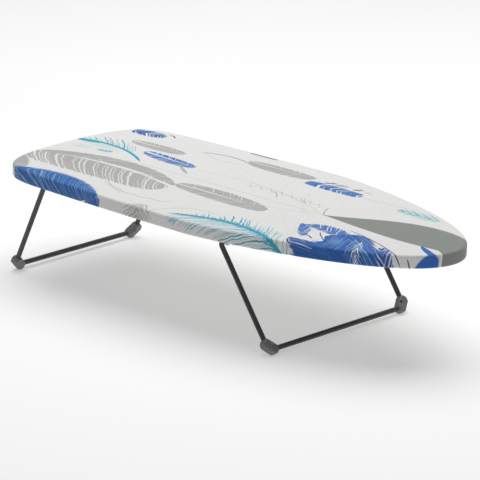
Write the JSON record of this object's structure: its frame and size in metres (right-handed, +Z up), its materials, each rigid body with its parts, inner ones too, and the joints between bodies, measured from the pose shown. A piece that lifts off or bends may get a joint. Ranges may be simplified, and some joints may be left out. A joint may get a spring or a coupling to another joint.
{
  "type": "tabletop ironing board",
  "caption": "Low ironing board with a padded, covered steel deck, one square end and one rounded nose, on two U-shaped rod legs that fold flat beneath it.",
  "frame": {"origin": "middle of the board's footprint, on the surface it stands on", "axes": "+X from the square end to the nose, +Y to the board's left, +Z up"},
  "size_m": [0.73, 0.312, 0.16],
  "materials": {
    "printed_cotton": "woven cotton with a feather print",
    "pad_foam": "open-cell foam",
    "elastic_band": "ribbed flat elastic",
    "zinc_steel": "zinc-plated sheet",
    "leg_paint": "dark grey powder coat",
    "bush_nylon": "natural nylon",
    "arm_plastic": "moulded nylon",
    "shoe_plastic": "moulded grey plastic",
    "screw_steel": "zinc-plated"
  },
  "bodies": {
    "board": {"deck_mesh": "zinc_steel", "deck_rim": "zinc_steel", "rear_bracket": "zinc_steel", "front_bracket": "zinc_steel", "rear_rivets": "zinc_steel", "front_rivets": "zinc_steel", "rear_left_bush": "bush_nylon", "rear_right_bush": "bush_nylon", "front_left_bush": "bush_nylon", "front_right_bush": "bush_nylon", "foam_pad": "pad_foam", "cover": "printed_cotton", "hem_elastic": "elastic_band"},
    "rear_leg": {"rear_leg": "leg_paint", "rear_stop_arms": "arm_plastic", "rear_left_shoe_outer": "shoe_plastic", "rear_left_shoe_inner": "shoe_plastic", "rear_right_shoe_outer": "shoe_plastic", "rear_right_shoe_inner": "shoe_plastic", "rear_shoe_screws": "screw_steel"},
    "front_leg": {"front_leg": "leg_paint", "front_stop_arms": "arm_plastic", "front_left_shoe_outer": "shoe_plastic", "front_left_shoe_inner": "shoe_plastic", "front_right_shoe_outer": "shoe_plastic", "front_right_shoe_inner": "shoe_plastic", "front_shoe_screws": "screw_steel"}
  },
  "joints": [
    {"name": "rear_leg_fold", "type": "hinge", "parent": "board", "child": "rear_leg", "pos_m": [-0.281, 0, 0.1375], "axis": [0, -1, 0], "range_deg": [0, 112.5]},
    {"name": "front_leg_fold", "type": "hinge", "parent": "board", "child": "front_leg", "pos_m": [0.07104, 0, 0.1375], "axis": [0, 1, 0], "range_deg": [0, 122.5]}
  ]
}
